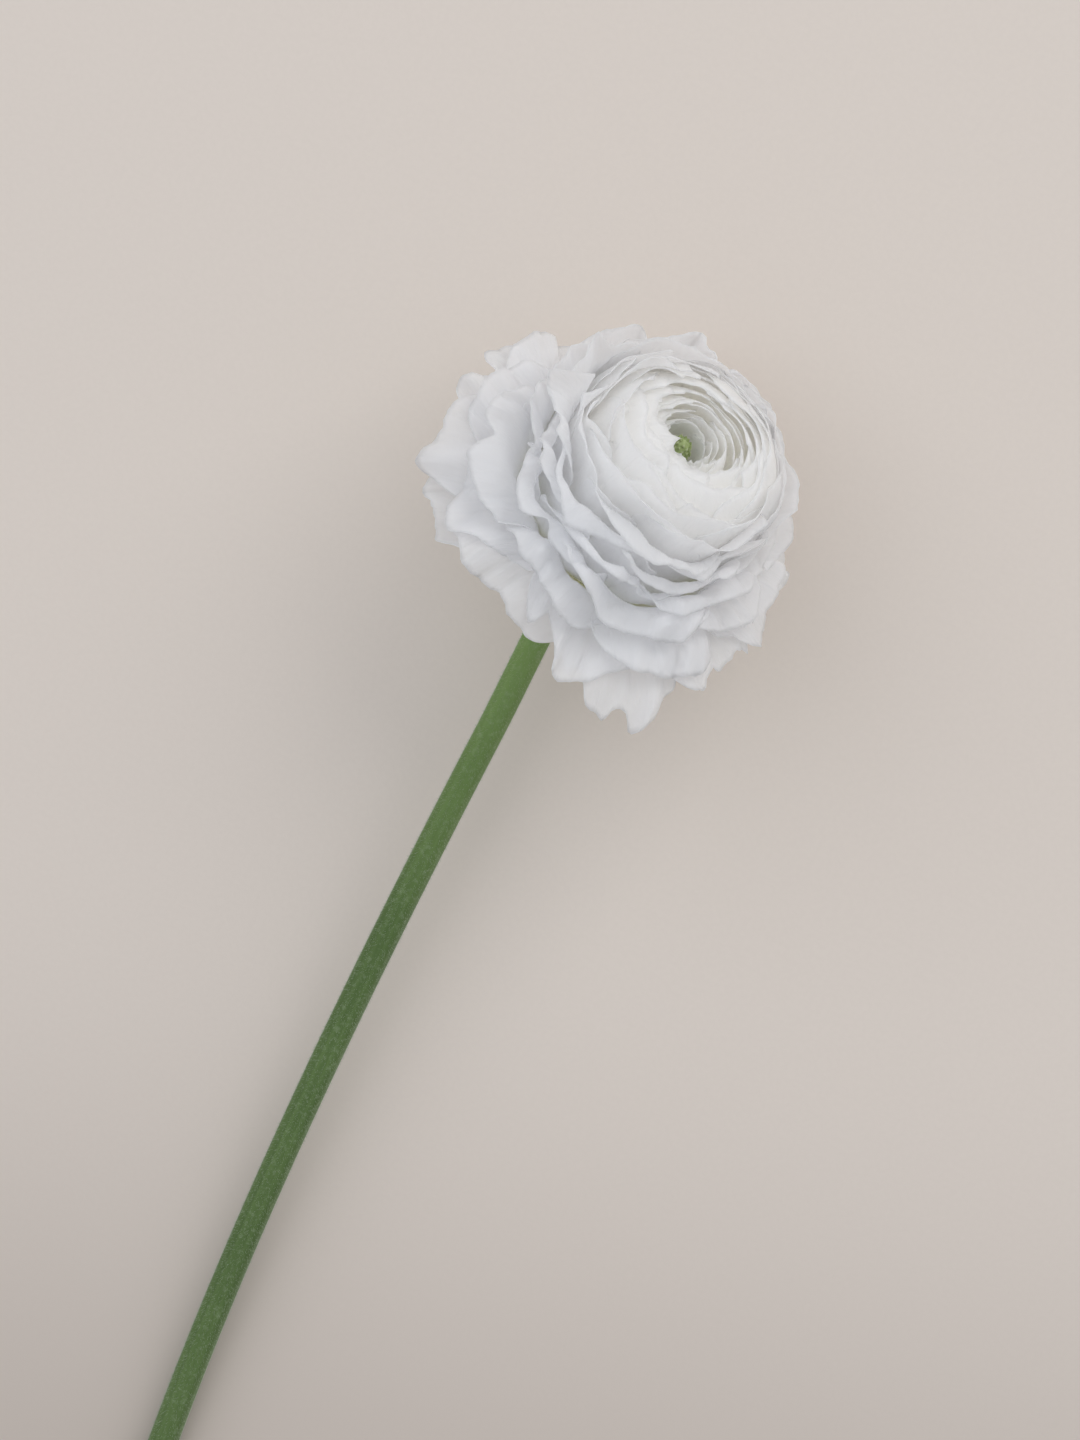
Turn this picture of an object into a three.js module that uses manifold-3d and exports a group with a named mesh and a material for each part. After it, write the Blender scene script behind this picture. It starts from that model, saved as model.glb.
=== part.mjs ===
// A cut ranunculus lying on a surface: one many-petalled white bloom on a bare stem.
// Millimetres, +Z up, the surface at z = 0, +Y along the stem towards the bloom.
import * as THREE from "three";
import { mergeVertices } from "three/addons/utils/BufferGeometryUtils.js";
import Module from "manifold-3d";

const wasm = await Module();
wasm.setup();

const TAU = 2 * Math.PI;

// The bloom's own frame: its base on the stem, the way it faces, and how far it turns aside.
const BASE = [-0.35, 115.4, 25.94];
const FACING_UP = 35; // degrees that the bloom's axis rises above the surface
const FACING_ASIDE = 15.6; // degrees that it turns from +Y towards +X

// Petals: how many, their blades and the turn from one to the next.
const PETALS = 108;
const GOLDEN_ANGLE = 137.508;
const BLADE = 0.6; // blade thickness
const BULB_CENTRE = 15; // height of the bulb's centre above the base

// A layer s runs from 0 at the heart to 1 at the outermost petals. These are its stations.
const LAYERS = [0, 0.12, 0.25, 0.36, 0.46, 0.58, 0.7, 0.82, 0.92, 1];
// Where a petal of each layer ends, as an angle from the bloom's axis seen from the bulb's centre.
// The six columns are the sides 0, 60, 120, 180, 240 and 300 degrees round the axis.
const RIM_ANGLE = [
  [10, 10, 11, 10, 10, 10],
  [12, 13, 16, 12, 12, 12],
  [17, 21, 23, 14, 14, 17],
  [20, 26, 27, 16, 18, 22],
  [28, 33, 30, 19, 22, 29],
  [45, 47, 36, 25, 30, 42],
  [69, 69, 52, 35, 42, 60],
  [84, 84, 76, 52, 63, 76],
  [97, 96, 97, 84, 88, 95],
  [108, 107, 107, 105, 105, 107],
];
// Which way the petal points at that end: 0 along the axis, 90 straight out, below 0 closing in.
const RIM_LEAN = [
  [-20, -20, -10, -14, -20, -20],
  [-42, -38, -22, -26, -38, -42],
  [-56, -50, -38, -44, -50, -54],
  [-60, -54, -50, -57, -58, -54],
  [-12, -24, -54, -62, -50, -5],
  [32, 20, -44, -60, -28, 20],
  [138, 130, 10, -50, -6, 70],
  [134, 128, 74, -28, 28, 84],
  [124, 120, 98, 42, 66, 100],
  [118, 114, 108, 98, 104, 113],
];
// Distance of the rim from the bulb's centre, on a tight side and on an open side.
const RIM_REACH_TIGHT = [20, 22.6, 25.4, 27, 28, 28.6, 29.2, 30, 33.5, 40.5];
const RIM_REACH_OPEN = [19.4, 21.2, 23.8, 26.6, 28.4, 29.2, 29.8, 31.5, 36.5, 40.5];
// Where the petal leaves the receptacle, and how steeply.
const ROOT_RADIUS = [2.9, 4.2, 5.4, 6.2, 6.8, 7.2, 7.2, 6.8, 6.2, 5.4];
const ROOT_HEIGHT = [17, 14.8, 12.2, 10.4, 9, 7.4, 5.9, 4.4, 2.9, 1.5];
const ROOT_LEAN = [15, 35, 55, 66, 74, 81, 86, 90, 93, 96];
// How far the petal keeps those two directions.
const ROOT_HOLD_TIGHT = [5, 9, 15, 19, 21, 22, 21.5, 20, 17, 14];
const ROOT_HOLD_OPEN = [5, 8, 12.5, 14.5, 15.5, 17.5, 22, 22, 18, 13];
const RIM_HOLD_TIGHT = [5, 7, 11, 13, 14, 14, 13, 12, 11, 12];
const RIM_HOLD_OPEN = [5, 6, 9, 10.5, 11, 10, 13, 15, 18, 15];
const TIGHTNESS = [0, 0.15, 0.8, 1, 0.35, 0.05];
const HALF_WIDTH = [3.6, 6.4, 11, 14, 16, 17, 17.5, 17, 15, 13.5];
// Blades this thick can't lie as close as petals do: every third of the first is kept, every
// second up to the outermost, and all of those.
const BULB_PETALS = 80;
const OUTERMOST = 100;
// The share of the petals that lies inside each layer.
const SHARE = [0, 0.2, 0.56, 0.75, 0.85, 1];
const SHARE_LAYER = [0, 0.25, 0.6, 0.8, 0.93, 1];

// Tips that reach the surface bend along it: the height of their middle there, and how softly.
const PRESSED_HEIGHT = 0.28;
const PRESSED_SOFTNESS = 1.3;

// The core, where the petals' lower parts lie too close together for blades: the share of its
// length that each layer has inside it, from the heart out, and the layer that bounds it below.
const CORE_LAYERS = [0.01, 0.12, 0.25, 0.45, 0.7, 0.85, 0.96];
const CORE_SHARE = [0.3, 0.36, 0.4, 0.45, 0.46, 0.44, 0.4];
const CORE_SIDES = 18;
const CORE_BOTTOM = 0.6;
const CORE_FOOT = 4.6; // radius of its flat underside, which sits on the calyx
const POCKET_FLOOR = 17.2; // under the carpels
const BLADE_START = 0.26; // where a blade starts inside the core

// The green carpels in the heart: the column that they stand on, from its foot up, and their rows.
const CARPEL_CORE = [
  [0, 17.5], [1.8, 17.5], [2.3, 19.5], [2.7, 23.5], [2.7, 29], [2.3, 31.5], [1.4, 33.6], [0, 34.3],
];
const CARPEL_ROWS = {
  lowest: 20.5,
  highest: 33.5,
  heights: [20, 23.5, 29, 31.5, 34],
  radii: [2.5, 2.7, 2.7, 2.4, 0.9],
};
const CARPELS = 34;
const CARPEL_SIZE = 0.62;

// The calyx: a disc under the bloom with five sepals bent back along the stem.
const SEPALS = 5;
const CALYX_DISC = [[0, -0.9], [3.9, -0.9], [4.5, -0.3], [4.3, 0.3], [0, 0.3]];
const SEPAL_PATH = [[3.4, -0.3], [7.5, 1.2], [10.5, -3.5], [9.6, -10.5]];
const SEPAL_HALF_WIDTH = 3.1;
const SEPAL_BLADE = 0.8;

// The stem: its path from under the calyx to the cut end, given from BASE, and its radius.
const NECK = [[-0.26, -0.95, -0.69], [-2.9, -10.3, -7.5], [-1.9, -30, -9.6], [-1.9, -45, -11.1]];
const STALK = [[-1.9, -45, -11.1], [-2.1, -101.9, -14.9], [-0.7, -162.6, -19], [5.8, -219.1, -22]];
const TAIL = [[5.8, -219.1, -22], [7.7, -236, -22.9], [2, -255, -22.9], [-9, -269, -22.7]];
const STEM_RADIUS_TOP = 2.75;
const STEM_RADIUS_END = 3.2;
const STEM_COLLAR = 0.95; // how much thicker it is right under the calyx
const STEM_COLLAR_LENGTH = 3.2;
const STEM_STEPS = 56;
const STEM_SIDES = 14;
const CUT_SLANT = 0.7; // how far the cut runs along the stem for each millimetre across

const MATERIALS = {
  petal: new THREE.MeshStandardMaterial({ color: 0xeceef2, roughness: 0.6 }),
  eye: new THREE.MeshStandardMaterial({ color: 0x6f7f3a, roughness: 0.7 }),
  calyx: new THREE.MeshStandardMaterial({ color: 0x8fa06a, roughness: 0.7 }),
  stem: new THREE.MeshStandardMaterial({ color: 0x5f7c46, roughness: 0.7 }),
};

const radians = (degrees) => (degrees * Math.PI) / 180;

function smooth(x, low, high) {
  const t = Math.min(1, Math.max(0, (x - low) / (high - low)));
  return t * t * (3 - 2 * t);
}

// A draw between 0 and 1 that belongs to petal i and use k.
function draw(i, k) {
  const x = Math.sin(i * 12.9898 + k * 78.233 + 4.7) * 43758.5453;
  return x - Math.floor(x);
}

function between(xs, ys, x) {
  let k = 0;
  while (k < xs.length - 2 && x > xs[k + 1]) k += 1;
  const f = Math.min(1, Math.max(0, (x - xs[k]) / (xs[k + 1] - xs[k])));
  return ys[k] + (ys[k + 1] - ys[k]) * f;
}

// A value for one side of the bloom out of a row of six.
function round(values, phi) {
  const x = ((((phi / TAU) % 1) + 1) % 1) * 6;
  const i = Math.floor(x) % 6;
  const f = x - Math.floor(x);
  const g = f * f * (3 - 2 * f);
  return values[i] * (1 - g) + values[(i + 1) % 6] * g;
}

const sided = (table, s, phi) =>
  between(LAYERS, table.map((values) => round(values, phi)), s);

// A point on layer s at share t of the petal's length, as radius and height.
function meridian(s, t, phi, turn) {
  const angle = radians(sided(RIM_ANGLE, s, phi) + turn.angle);
  const lean = radians(sided(RIM_LEAN, s, phi) + turn.lean);
  const q = round(TIGHTNESS, phi);
  const mix = (tight, open) => between(LAYERS, tight, s) * q + between(LAYERS, open, s) * (1 - q);
  const aside = Math.abs(((((phi - radians(345) + Math.PI) % TAU) + TAU) % TAU) - Math.PI);
  const dent = 1 - 0.13 * smooth(s, 0.85, 0.95) * Math.exp(-((aside / 0.3) ** 2));
  const reach = (mix(RIM_REACH_TIGHT, RIM_REACH_OPEN) + turn.reach) * dent;
  const root = radians(between(LAYERS, ROOT_LEAN, s));
  const hold0 = mix(ROOT_HOLD_TIGHT, ROOT_HOLD_OPEN);
  const hold1 = mix(RIM_HOLD_TIGHT, RIM_HOLD_OPEN);
  const p0 = [between(LAYERS, ROOT_RADIUS, s), between(LAYERS, ROOT_HEIGHT, s)];
  const p3 = [reach * Math.sin(angle), BULB_CENTRE + reach * Math.cos(angle)];
  const p1 = [p0[0] + hold0 * Math.sin(root), p0[1] + hold0 * Math.cos(root)];
  const p2 = [p3[0] - hold1 * Math.sin(lean), p3[1] - hold1 * Math.cos(lean)];
  const w = [(1 - t) ** 3, 3 * t * (1 - t) ** 2, 3 * t * t * (1 - t), t ** 3];
  const at = (k) => w[0] * p0[k] + w[1] * p1[k] + w[2] * p2[k] + w[3] * p3[k];
  // The rim rolls outwards on the open side.
  const side = 0.35 + 0.65 * Math.max(0, Math.cos(phi - radians(305)));
  const rolled = smooth(s, 0.4, 0.52) * (1 - smooth(s, 0.8, 0.92));
  const wave = Math.max(0, 0.6 + 0.6 * Math.sin(6 * phi + 12 * s));
  const lip = 1.9 * rolled * side * wave * Math.min(1.1, Math.max(0, (t - 0.82) / 0.18)) ** 2;
  return [at(0) + lip * Math.cos(lean), at(1) - lip * Math.sin(lean)];
}

// A point on petal i: u from -1 to 1 across it, v from 0 at its root to 1 at its rim.
function petalPoint(i, u, v) {
  const s0 = between(SHARE, SHARE_LAYER, (i + 0.5) / PETALS);
  const phi0 = i * radians(GOLDEN_ANGLE);
  const phase = (k) => TAU * draw(i, k);
  const strength = (k) => 0.4 + 0.6 * draw(i, k + 20);
  const half = between(LAYERS, HALF_WIDTH, s0) * (0.92 + 0.16 * draw(i, 9));
  const outline = 0.66 + 0.34 * Math.max(0, 1 - Math.abs(u) ** 2.6) ** (1 / 2.6);
  const uneven = 0.09 + 0.1 * smooth(s0, 0.3, 0.45) * (1 - smooth(s0, 0.75, 0.9));
  const length = 1.03 - uneven * draw(i, 10) + 0.08 * smooth(s0, 0.9, 1) * (draw(i, 11) - 0.5);
  const t = v * outline * length;
  const x = u * half * (0.25 + 0.75 * Math.sin((Math.PI / 2) * v) ** 1.1);
  const rim = smooth(v, 0.5, 1);
  const sway = 0.25 * strength(4) * Math.sin(3.5 * u + phase(4));
  const flutter = 0.16 * strength(5) * Math.sin(8 * u + phase(5));
  const s = Math.min(1, Math.max(0, s0 + 0.027 * (0.5 * u * v + rim * (sway + flutter))));
  const still = { angle: 0, lean: 0, reach: 0 };
  const phi = phi0 + x / Math.max(meridian(s, t, phi0, still)[0], 3);
  const outer = smooth(s0, 0.45, 0.8);
  const twist = 14 * Math.sin(7 * phi + 9 * s) + 9 * strength(6) * Math.sin(4 * u + phase(6));
  const skirt = 1.3 * smooth(s0, 0.85, 1) * Math.sin(5 * phi + 4 * s);
  const turn = {
    angle: 2.5 * Math.sin(5 * phi + 6 * s) * outer + 2 * (draw(i, 7) - 0.5),
    lean: outer * rim * twist,
    reach: outer * rim * (0.5 * Math.sin(9 * phi - 7 * s) + skirt),
  };
  const [rho, h] = meridian(s, t, phi, turn);
  return new THREE.Vector3(rho * Math.cos(phi), rho * Math.sin(phi), h);
}

// A closed blade round a grid of points, split into triangles alike on both faces.
function bladeGeometry(grid, thickness) {
  const nu = grid.length;
  const nv = grid[0].length;
  const faces = [[], []];
  for (let i = 0; i < nu; i += 1) {
    for (let j = 0; j < nv; j += 1) {
      const du = grid[Math.min(nu - 1, i + 1)][j].clone().sub(grid[Math.max(0, i - 1)][j]);
      const dv = grid[i][Math.min(nv - 1, j + 1)].clone().sub(grid[i][Math.max(0, j - 1)]);
      const normal = du.cross(dv).normalize().multiplyScalar(thickness / 2);
      faces[0].push(grid[i][j].clone().add(normal));
      faces[1].push(grid[i][j].clone().sub(normal));
    }
  }
  const index = [];
  const n = nu * nv;
  const quad = (a, b, c, d) => index.push(a, b, c, a, c, d);
  const id = (i, j) => i * nv + j;
  for (let i = 0; i + 1 < nu; i += 1) {
    for (let j = 0; j + 1 < nv; j += 1) {
      const [a, b, c, d] = [id(i, j), id(i + 1, j), id(i + 1, j + 1), id(i, j + 1)];
      quad(a, b, c, d);
      index.push(n + a, n + c, n + b, n + a, n + d, n + c);
    }
  }
  const loop = [];
  for (let i = 0; i + 1 < nu; i += 1) loop.push(id(i, 0));
  for (let j = 0; j + 1 < nv; j += 1) loop.push(id(nu - 1, j));
  for (let i = nu - 1; i > 0; i -= 1) loop.push(id(i, nv - 1));
  for (let j = nv - 1; j > 0; j -= 1) loop.push(id(0, j));
  loop.forEach((a, k) => {
    const b = loop[(k + 1) % loop.length];
    quad(b, a, n + a, n + b);
  });
  const geometry = new THREE.BufferGeometry().setFromPoints(faces.flat());
  geometry.setIndex(index);
  return geometry;
}

// The size of the grid that a petal of layer s is built on.
function petalGrid(s) {
  if (s < 0.45) return [4, 4];
  if (s < 0.8) return [4, 5];
  return [5, 5];
}

// A point of the bloom in the part's frame, bent along the surface where it would pass it.
function settled(point, matrix) {
  const p = point.applyMatrix4(matrix);
  const over = (p.z - PRESSED_HEIGHT) / PRESSED_SOFTNESS;
  if (over < 8) p.z = PRESSED_HEIGHT + PRESSED_SOFTNESS * Math.log1p(Math.exp(over));
  return p;
}

function petalBlade(i) {
  const matrix = bloomMatrix();
  const s = between(SHARE, SHARE_LAYER, (i + 0.5) / PETALS);
  const [nu, nv] = petalGrid(s);
  const grid = [];
  for (let a = 0; a < nu; a += 1) {
    const u = Math.sin(((2 * a) / (nu - 1) - 1) * (Math.PI / 2));
    const line = [];
    for (let b = 0; b < nv; b += 1) {
      const v = BLADE_START + (1 - BLADE_START) * (b / (nv - 1)) ** 0.9;
      line.push(settled(petalPoint(i, u, v), matrix));
    }
    grid.push(line);
  }
  return bladeGeometry(grid, BLADE);
}

function lathe(profile, sides) {
  const points = profile.map(([r, h]) => new THREE.Vector2(r, h));
  return new THREE.LatheGeometry(points, sides).rotateX(Math.PI / 2);
}

// A geometry as a solid that can be joined and cut.
function solid(geometry) {
  const bare = geometry.clone();
  bare.deleteAttribute("normal");
  bare.deleteAttribute("uv");
  const merged = mergeVertices(bare, 1e-4);
  const made = new wasm.Manifold(
    new wasm.Mesh({
      numProp: 3,
      vertProperties: merged.attributes.position.array,
      triVerts: new Uint32Array(merged.index.array),
    }),
  );
  return made;
}

// The joined solid's outer skin: loose scraps are dropped and sealed hollows filled.
function fuse(solids) {
  const bodies = wasm.Manifold.union(solids).decompose();
  return bodies.reduce((a, b) => (b.volume() > a.volume() ? b : a));
}

function geometryOf(made) {
  const mesh = made.getMesh();
  const points = new Float32Array(mesh.numVert * 3);
  for (let i = 0; i < mesh.numVert; i += 1) {
    points.set(mesh.vertProperties.subarray(i * mesh.numProp, i * mesh.numProp + 3), i * 3);
  }
  const geometry = new THREE.BufferGeometry();
  geometry.setAttribute("position", new THREE.BufferAttribute(points, 3));
  geometry.setIndex(new THREE.BufferAttribute(mesh.triVerts, 1));
  return geometry;
}

// The bloom's axes in the part's frame: two across, then the way that it faces.
function bloomMatrix() {
  const up = radians(FACING_UP);
  const aside = radians(FACING_ASIDE);
  const facing = new THREE.Vector3(
    Math.cos(up) * Math.sin(aside),
    Math.cos(up) * Math.cos(aside),
    Math.sin(up),
  );
  const across = new THREE.Vector3(Math.cos(aside), -Math.sin(aside), 0);
  const over = across.clone().cross(facing);
  return new THREE.Matrix4().makeBasis(over, across, facing).setPosition(...BASE);
}

// The core's outline on one side, from the middle of its bottom to the floor of the pocket.
function coreOutline(phi) {
  const still = { angle: 0, lean: 0, reach: 0 };
  const lowest = CORE_LAYERS[CORE_LAYERS.length - 1];
  const line = [[0.01, CORE_BOTTOM], [CORE_FOOT, CORE_BOTTOM], meridian(lowest, 0.06, phi, still)];
  for (let k = CORE_LAYERS.length - 1; k >= 0; k -= 1) {
    line.push(meridian(CORE_LAYERS[k], CORE_SHARE[k], phi, still));
  }
  line.push(meridian(CORE_LAYERS[0], 0.12, phi, still));
  line.push([meridian(CORE_LAYERS[0], 0, phi, still)[0], POCKET_FLOOR], [0.01, POCKET_FLOOR]);
  return line;
}

function coreGeometry() {
  const points = [];
  const index = [];
  const rows = coreOutline(0).length;
  for (let k = 0; k < CORE_SIDES; k += 1) {
    const phi = (k / CORE_SIDES) * TAU;
    for (const [rho, h] of coreOutline(phi)) {
      points.push(new THREE.Vector3(rho * Math.cos(phi), rho * Math.sin(phi), h));
    }
  }
  for (let k = 0; k < CORE_SIDES; k += 1) {
    const next = (k + 1) % CORE_SIDES;
    for (let j = 0; j + 1 < rows; j += 1) {
      const [a, b, c, d] = [k * rows + j, next * rows + j, next * rows + j + 1, k * rows + j + 1];
      index.push(a, b, c, a, c, d);
    }
    if (k > 0 && k + 1 < CORE_SIDES) {
      index.push(0, (k + 1) * rows, k * rows);
      index.push(rows - 1, k * rows + rows - 1, (k + 1) * rows + rows - 1);
    }
  }
  return new THREE.BufferGeometry().setFromPoints(points).setIndex(index);
}

function petalStep(i) {
  if (i < BULB_PETALS) return 3;
  return i < OUTERMOST ? 2 : 1;
}

function bloomMesh() {
  const solids = [solid(coreGeometry().applyMatrix4(bloomMatrix()))];
  for (let i = 0; i < PETALS; i += petalStep(i)) solids.push(solid(petalBlade(i)));
  return geometryOf(fuse(solids));
}

function carpelMesh() {
  const solids = [solid(lathe(CARPEL_CORE, 14))];
  for (let i = 0; i < CARPELS; i += 1) {
    const f = (i + 0.5) / CARPELS;
    const h = CARPEL_ROWS.lowest + (CARPEL_ROWS.highest - CARPEL_ROWS.lowest) * f;
    const rho = between(CARPEL_ROWS.heights, CARPEL_ROWS.radii, h);
    const phi = i * radians(GOLDEN_ANGLE);
    const bump = new THREE.OctahedronGeometry(CARPEL_SIZE).scale(1, 1, 1.5);
    bump.translate(rho * Math.cos(phi), rho * Math.sin(phi), h);
    solids.push(solid(bump));
  }
  return geometryOf(fuse(solids)).applyMatrix4(bloomMatrix());
}

function bezier(points, t) {
  const w = [(1 - t) ** 3, 3 * t * (1 - t) ** 2, 3 * t * t * (1 - t), t ** 3];
  return points[0].map((_, k) => points.reduce((sum, p, i) => sum + w[i] * p[k], 0));
}

function sepalBlade(k) {
  const grid = [];
  for (let a = 0; a < 4; a += 1) {
    const u = (2 * a) / 3 - 1;
    const line = [];
    for (let b = 0; b < 6; b += 1) {
      const v = b / 5;
      const [rho, h] = bezier(SEPAL_PATH, v);
      const half = SEPAL_HALF_WIDTH * (0.45 + 0.75 * Math.sin(Math.PI * Math.min(1, 0.15 + 0.8 * v)));
      const phi = (k / SEPALS) * TAU + (u * half) / Math.max(rho, 4);
      line.push(new THREE.Vector3(rho * Math.cos(phi), rho * Math.sin(phi), h - 0.5 * u * u));
    }
    grid.push(line);
  }
  return bladeGeometry(grid, SEPAL_BLADE);
}

function calyxMesh() {
  const ring = lathe(CALYX_DISC, 20);
  const solids = [solid(ring)];
  for (let k = 0; k < SEPALS; k += 1) solids.push(solid(sepalBlade(k)));
  return geometryOf(fuse(solids)).applyMatrix4(bloomMatrix());
}

function stemPath() {
  const path = new THREE.CurvePath();
  for (const points of [NECK, STALK, TAIL]) {
    const placed = points.map((p) => new THREE.Vector3(...p).add(new THREE.Vector3(...BASE)));
    path.add(new THREE.CubicBezierCurve3(...placed));
  }
  return path;
}

// The stem is extruded with a radius of 1 mm, then each ring is widened round the path.
function stemMesh() {
  const path = stemPath();
  const section = new THREE.Shape().absarc(0, 0, 1, 0, TAU, false);
  const geometry = new THREE.ExtrudeGeometry(section, {
    steps: STEM_STEPS,
    extrudePath: path,
    curveSegments: STEM_SIDES / 2,
  });
  const centres = path.getSpacedPoints(STEM_STEPS);
  const cutDirection = path.getTangentAt(1);
  const position = geometry.getAttribute("position");
  for (let i = 0; i < position.count; i += 1) {
    const point = new THREE.Vector3().fromBufferAttribute(position, i);
    const away = centres.map((centre) => centre.distanceToSquared(point));
    const ring = away.indexOf(Math.min(...away));
    const share = ring / STEM_STEPS;
    const collar = STEM_COLLAR * Math.exp(-(((share * path.getLength()) / STEM_COLLAR_LENGTH) ** 2));
    const radius = STEM_RADIUS_TOP + (STEM_RADIUS_END - STEM_RADIUS_TOP) * share + collar;
    const offset = point.sub(centres[ring]).multiplyScalar(radius);
    const widened = centres[ring].clone().add(offset);
    if (ring === STEM_STEPS) widened.addScaledVector(cutDirection, -offset.z * CUT_SLANT);
    position.setXYZ(i, widened.x, widened.y, widened.z);
  }
  return geometry;
}

const part = new THREE.Group();
for (const [name, geometry, material] of [
  ["petals", bloomMesh(), MATERIALS.petal],
  ["carpels", carpelMesh(), MATERIALS.eye],
  ["calyx", calyxMesh(), MATERIALS.calyx],
  ["stem", stemMesh(), MATERIALS.stem],
]) {
  const mesh = new THREE.Mesh(geometry, material);
  mesh.name = name;
  part.add(mesh);
}

export default part;
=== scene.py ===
"""A cut white ranunculus that lies on a pale floor, seen from above.

The bloom is a stack of petal layers. A layer s runs from 0 at the heart to 1 at the outermost
petals, a side phi runs round the bloom's axis, and a share t runs along the petal from its root
to its rim. Sizes are in millimetres until a mesh is written, and the frame's axes are kept.
"""

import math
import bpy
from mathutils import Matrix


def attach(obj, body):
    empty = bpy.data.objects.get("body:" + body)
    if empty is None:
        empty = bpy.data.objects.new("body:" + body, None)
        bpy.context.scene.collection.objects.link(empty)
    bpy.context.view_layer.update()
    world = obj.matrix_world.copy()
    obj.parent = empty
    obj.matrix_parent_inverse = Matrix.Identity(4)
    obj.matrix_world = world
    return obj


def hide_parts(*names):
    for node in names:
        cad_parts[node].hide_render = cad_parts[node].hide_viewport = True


bl_info = {
    "name": "Ranunculus Bloom",
    "version": (1, 0, 0),
    "blender": (4, 5, 0),
    "location": "View3D > Sidebar > Bloom",
    "description": "Builds a many-petalled ranunculus on its bare stem from a few sizes",
    "category": "Add Mesh",
}

import bpy
import numpy as np
from bpy.props import FloatProperty, FloatVectorProperty, IntProperty, PointerProperty
from mathutils import Matrix, Vector

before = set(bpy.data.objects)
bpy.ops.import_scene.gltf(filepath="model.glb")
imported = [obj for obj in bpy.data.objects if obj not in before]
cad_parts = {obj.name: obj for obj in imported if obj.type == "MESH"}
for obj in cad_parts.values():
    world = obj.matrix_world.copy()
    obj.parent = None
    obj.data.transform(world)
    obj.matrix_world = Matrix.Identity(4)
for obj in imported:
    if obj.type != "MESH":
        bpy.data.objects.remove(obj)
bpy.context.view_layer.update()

MM = 0.001
TAU = 2 * math.pi
GOLDEN = math.radians(137.508)

# The bloom's own frame: its base on the stem, how far it faces up, and how far it turns from +Y.
BASE = np.array([-0.35, 115.4, 25.94])
FACING_UP = math.radians(35)
FACING_ASIDE = math.radians(15.6)
BULB_CENTRE = 15

# Layers of petals, with a column for each of the sides 0, 60, 120, 180, 240 and 300 degrees.
LAYERS = [0, 0.12, 0.25, 0.36, 0.46, 0.58, 0.7, 0.82, 0.92, 1]
RIM_ANGLE = [
    [10, 10, 11, 10, 10, 10],
    [12, 13, 16, 12, 12, 12],
    [17, 21, 23, 14, 14, 17],
    [20, 26, 27, 16, 18, 22],
    [28, 33, 30, 19, 22, 29],
    [45, 47, 36, 25, 30, 42],
    [69, 69, 52, 35, 42, 60],
    [84, 84, 76, 52, 63, 76],
    [97, 96, 97, 84, 88, 95],
    [108, 107, 107, 105, 105, 107],
]
RIM_LEAN = [
    [-20, -20, -10, -14, -20, -20],
    [-42, -38, -22, -26, -38, -42],
    [-56, -50, -38, -44, -50, -54],
    [-60, -54, -54, -68, -62, -54],
    [-12, -24, -58, -71, -56, -5],
    [32, 20, -46, -66, -34, 20],
    [138, 130, 10, -56, -10, 70],
    [134, 128, 74, -38, 22, 84],
    [124, 120, 98, 42, 66, 100],
    [118, 114, 108, 98, 104, 113],
]
RIM_REACH_TIGHT = [20, 22.6, 25.4, 27, 28, 28.6, 29.2, 30, 33.5, 40.5]
RIM_REACH_OPEN = [19.4, 21.2, 23.8, 26.6, 28.4, 29.2, 29.8, 31.5, 36.5, 40.5]
ROOT_RADIUS = [2.9, 4.2, 5.4, 6.2, 6.8, 7.2, 7.2, 6.8, 6.2, 5.4]
ROOT_HEIGHT = [17, 14.8, 12.2, 10.4, 9, 7.4, 5.9, 4.4, 2.9, 1.5]
ROOT_LEAN = [15, 35, 55, 66, 74, 81, 86, 90, 93, 96]
ROOT_HOLD_TIGHT = [5, 9, 15, 19, 21, 22, 21.5, 20, 17, 14]
ROOT_HOLD_OPEN = [5, 8, 12.5, 14.5, 15.5, 17.5, 22, 22, 18, 13]
RIM_HOLD_TIGHT = [5, 7, 11, 13, 14, 14, 13, 12, 11, 12]
RIM_HOLD_OPEN = [5, 6, 9, 10.5, 11, 10, 13, 15, 18, 15]
TIGHTNESS = [0, 0.15, 0.8, 1, 0.35, 0.05]
HALF_WIDTH = [3.6, 6.4, 11, 14, 16, 17, 17.5, 17, 15, 13.5]
# The share of the petals that lies inside each layer.
SHARE = [0, 0.2, 0.56, 0.75, 0.85, 1]
SHARE_LAYER = [0, 0.25, 0.6, 0.8, 0.93, 1]
# The side where the bulb's petals are narrow and folded, and the one where the skirt is lobed.
FOLDED_SIDE = math.radians(265)
LOBED_SIDE = math.radians(45)
# The skirt petal whose corner sticks out: its number, where across it, and how far.
EAR_PETAL = 99
EAR_PLACE = 0.5
EAR_LENGTH = 0.1
# Tips that reach the floor bend along it: the height of their middle there, and how softly.
PRESSED_HEIGHT = 0.14
PRESSED_SOFTNESS = 1.3

# Pieces of the bloom: name, first and last petal as a share of all, and points across and along.
PETAL_PIECES = [
    ("petals_heart", 0.0, 0.3, 40, 24),
    ("petals_bulb_inner", 0.3, 0.5, 52, 28),
    ("petals_bulb_outer", 0.5, 0.7, 56, 28),
    ("petals_skirt_inner", 0.7, 0.86, 60, 30),
    ("petals_skirt_outer", 0.86, 1.0, 64, 32),
]
# The cone that the petals' roots are sunk in, as radius and height from its foot up.
RECEPTACLE = [
    [0, 0.5], [5, 0.7], [6.4, 2.5], [7.6, 6], [6.9, 10], [5, 14], [3.2, 17], [2.4, 17.3], [0, 17.3],
]

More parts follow.
